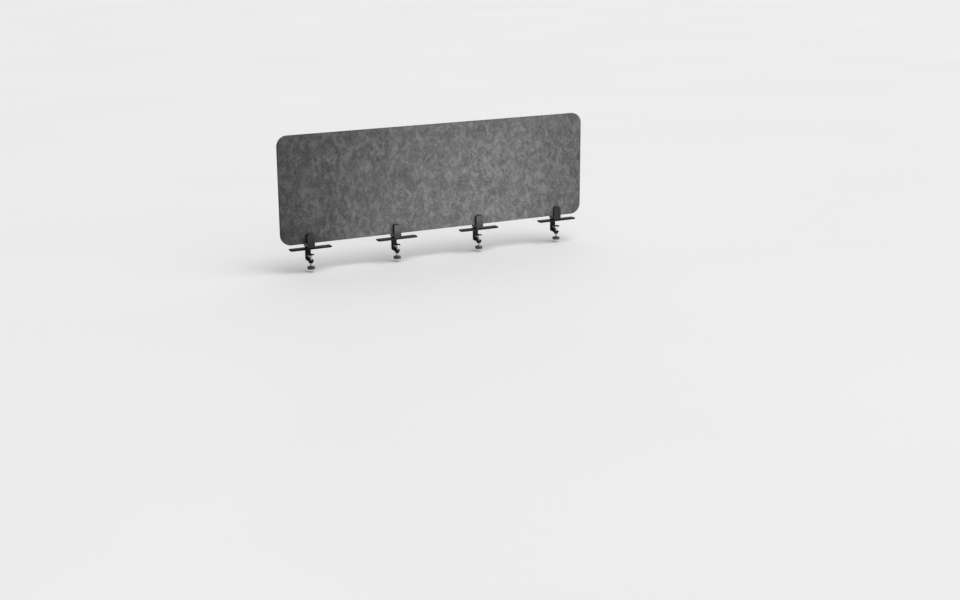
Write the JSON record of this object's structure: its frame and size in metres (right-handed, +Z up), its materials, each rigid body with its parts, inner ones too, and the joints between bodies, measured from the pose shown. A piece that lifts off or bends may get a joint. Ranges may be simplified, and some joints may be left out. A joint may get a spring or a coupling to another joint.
{
  "type": "desk privacy panel",
  "caption": "Felt privacy board with rounded corners, held upright along a desk's rear edge by screw clamps with long flat plates and thumb-screw clips.",
  "frame": {"origin": "middle of the panel's length, on the panel's mid-plane, at the height of the desk top that the plates lie on", "axes": "+X along the panel to the right as seen from the desk's user, +Y off the back of the desk, +Z up"},
  "size_m": [1.5, 0.0665, 0.5935],
  "materials": {
    "felt": "matte",
    "coated_steel": "satin",
    "black_moulding": "satin",
    "knob_plastic": "satin",
    "rubber": "matte",
    "zinc_steel": "satin"
  },
  "bodies": {
    "frame": {"felt_panel": "felt", "plate_cushion_1": "rubber", "top_plate_1": "coated_steel", "plate_screws_1": "zinc_steel", "clip_body_1": "black_moulding", "front_grip_pad_1": "rubber", "clamp_hook_1": "coated_steel", "plate_cushion_2": "rubber", "top_plate_2": "coated_steel", "plate_screws_2": "zinc_steel", "clip_body_2": "black_moulding", "front_grip_pad_2": "rubber", "clamp_hook_2": "coated_steel", "plate_cushion_3": "rubber", "top_plate_3": "coated_steel", "plate_screws_3": "zinc_steel", "clip_body_3": "black_moulding", "front_grip_pad_3": "rubber", "clamp_hook_3": "coated_steel", "plate_cushion_4": "rubber", "top_plate_4": "coated_steel", "plate_screws_4": "zinc_steel", "clip_body_4": "black_moulding", "front_grip_pad_4": "rubber", "clamp_hook_4": "coated_steel"},
    "clamp_pad_1": {"clamp_pad_face_1": "rubber", "swivel_cup_1": "zinc_steel"},
    "clamp_screw_1": {"clamp_spindle_1": "zinc_steel", "clamp_knob_1": "knob_plastic"},
    "grip_pad_1": {"rear_grip_pad_1": "rubber", "pressure_plate_1": "zinc_steel"},
    "grip_thumbscrew_1": {"grip_screw_1": "zinc_steel", "grip_knob_1": "knob_plastic"},
    "clamp_pad_2": {"clamp_pad_face_2": "rubber", "swivel_cup_2": "zinc_steel"},
    "clamp_screw_2": {"clamp_spindle_2": "zinc_steel", "clamp_knob_2": "knob_plastic"},
    "grip_pad_2": {"rear_grip_pad_2": "rubber", "pressure_plate_2": "zinc_steel"},
    "grip_thumbscrew_2": {"grip_screw_2": "zinc_steel", "grip_knob_2": "knob_plastic"},
    "clamp_pad_3": {"clamp_pad_face_3": "rubber", "swivel_cup_3": "zinc_steel"},
    "clamp_screw_3": {"clamp_spindle_3": "zinc_steel", "clamp_knob_3": "knob_plastic"},
    "grip_pad_3": {"rear_grip_pad_3": "rubber", "pressure_plate_3": "zinc_steel"},
    "grip_thumbscrew_3": {"grip_screw_3": "zinc_steel", "grip_knob_3": "knob_plastic"},
    "clamp_pad_4": {"clamp_pad_face_4": "rubber", "swivel_cup_4": "zinc_steel"},
    "clamp_screw_4": {"clamp_spindle_4": "zinc_steel", "clamp_knob_4": "knob_plastic"},
    "grip_pad_4": {"rear_grip_pad_4": "rubber", "pressure_plate_4": "zinc_steel"},
    "grip_thumbscrew_4": {"grip_screw_4": "zinc_steel", "grip_knob_4": "knob_plastic"}
  },
  "joints": [
    {"name": "clamp_slide_1", "type": "slide", "parent": "frame", "child": "clamp_pad_1", "axis": [0, 0, 1], "range_m": [-0.0125, 0.0125]},
    {"name": "clamp_turn_1", "type": "hinge", "parent": "clamp_pad_1", "child": "clamp_screw_1", "pos_m": [-0.618, -0.011, -0.0325], "axis": [0, 0, 1], "range_deg": [-3600, 3600]},
    {"name": "grip_slide_1", "type": "slide", "parent": "frame", "child": "grip_pad_1", "axis": [0, 1, 0], "range_m": [0, 0.003]},
    {"name": "grip_turn_1", "type": "hinge", "parent": "grip_pad_1", "child": "grip_thumbscrew_1", "pos_m": [-0.618, 0.01, 0.048], "axis": [0, 1, 0], "range_deg": [0, 1080]},
    {"name": "clamp_slide_2", "type": "slide", "parent": "frame", "child": "clamp_pad_2", "axis": [0, 0, 1], "range_m": [-0.0125, 0.0125]},
    {"name": "clamp_turn_2", "type": "hinge", "parent": "clamp_pad_2", "child": "clamp_screw_2", "pos_m": [-0.206, -0.011, -0.0325], "axis": [0, 0, 1], "range_deg": [-3600, 3600]},
    {"name": "grip_slide_2", "type": "slide", "parent": "frame", "child": "grip_pad_2", "axis": [0, 1, 0], "range_m": [0, 0.003]},
    {"name": "grip_turn_2", "type": "hinge", "parent": "grip_pad_2", "child": "grip_thumbscrew_2", "pos_m": [-0.206, 0.01, 0.048], "axis": [0, 1, 0], "range_deg": [0, 1080]},
    {"name": "clamp_slide_3", "type": "slide", "parent": "frame", "child": "clamp_pad_3", "axis": [0, 0, 1], "range_m": [-0.0125, 0.0125]},
    {"name": "clamp_turn_3", "type": "hinge", "parent": "clamp_pad_3", "child": "clamp_screw_3", "pos_m": [0.206, -0.011, -0.0325], "axis": [0, 0, 1], "range_deg": [-3600, 3600]},
    {"name": "grip_slide_3", "type": "slide", "parent": "frame", "child": "grip_pad_3", "axis": [0, 1, 0], "range_m": [0, 0.003]},
    {"name": "grip_turn_3", "type": "hinge", "parent": "grip_pad_3", "child": "grip_thumbscrew_3", "pos_m": [0.206, 0.01, 0.048], "axis": [0, 1, 0], "range_deg": [0, 1080]},
    {"name": "clamp_slide_4", "type": "slide", "parent": "frame", "child": "clamp_pad_4", "axis": [0, 0, 1], "range_m": [-0.0125, 0.0125]},
    {"name": "clamp_turn_4", "type": "hinge", "parent": "clamp_pad_4", "child": "clamp_screw_4", "pos_m": [0.618, -0.011, -0.0325], "axis": [0, 0, 1], "range_deg": [-3600, 3600]},
    {"name": "grip_slide_4", "type": "slide", "parent": "frame", "child": "grip_pad_4", "axis": [0, 1, 0], "range_m": [0, 0.003]},
    {"name": "grip_turn_4", "type": "hinge", "parent": "grip_pad_4", "child": "grip_thumbscrew_4", "pos_m": [0.618, 0.01, 0.048], "axis": [0, 1, 0], "range_deg": [0, 1080]}
  ],
  "couplings": [
    {"joint": "clamp_turn_1", "follows": "clamp_slide_1", "rad_per_m": 5026.5},
    {"joint": "grip_turn_1", "follows": "grip_slide_1", "rad_per_m": 6283.2},
    {"joint": "clamp_turn_2", "follows": "clamp_slide_2", "rad_per_m": 5026.5},
    {"joint": "grip_turn_2", "follows": "grip_slide_2", "rad_per_m": 6283.2},
    {"joint": "clamp_turn_3", "follows": "clamp_slide_3", "rad_per_m": 5026.5},
    {"joint": "grip_turn_3", "follows": "grip_slide_3", "rad_per_m": 6283.2},
    {"joint": "clamp_turn_4", "follows": "clamp_slide_4", "rad_per_m": 5026.5},
    {"joint": "grip_turn_4", "follows": "grip_slide_4", "rad_per_m": 6283.2}
  ]
}
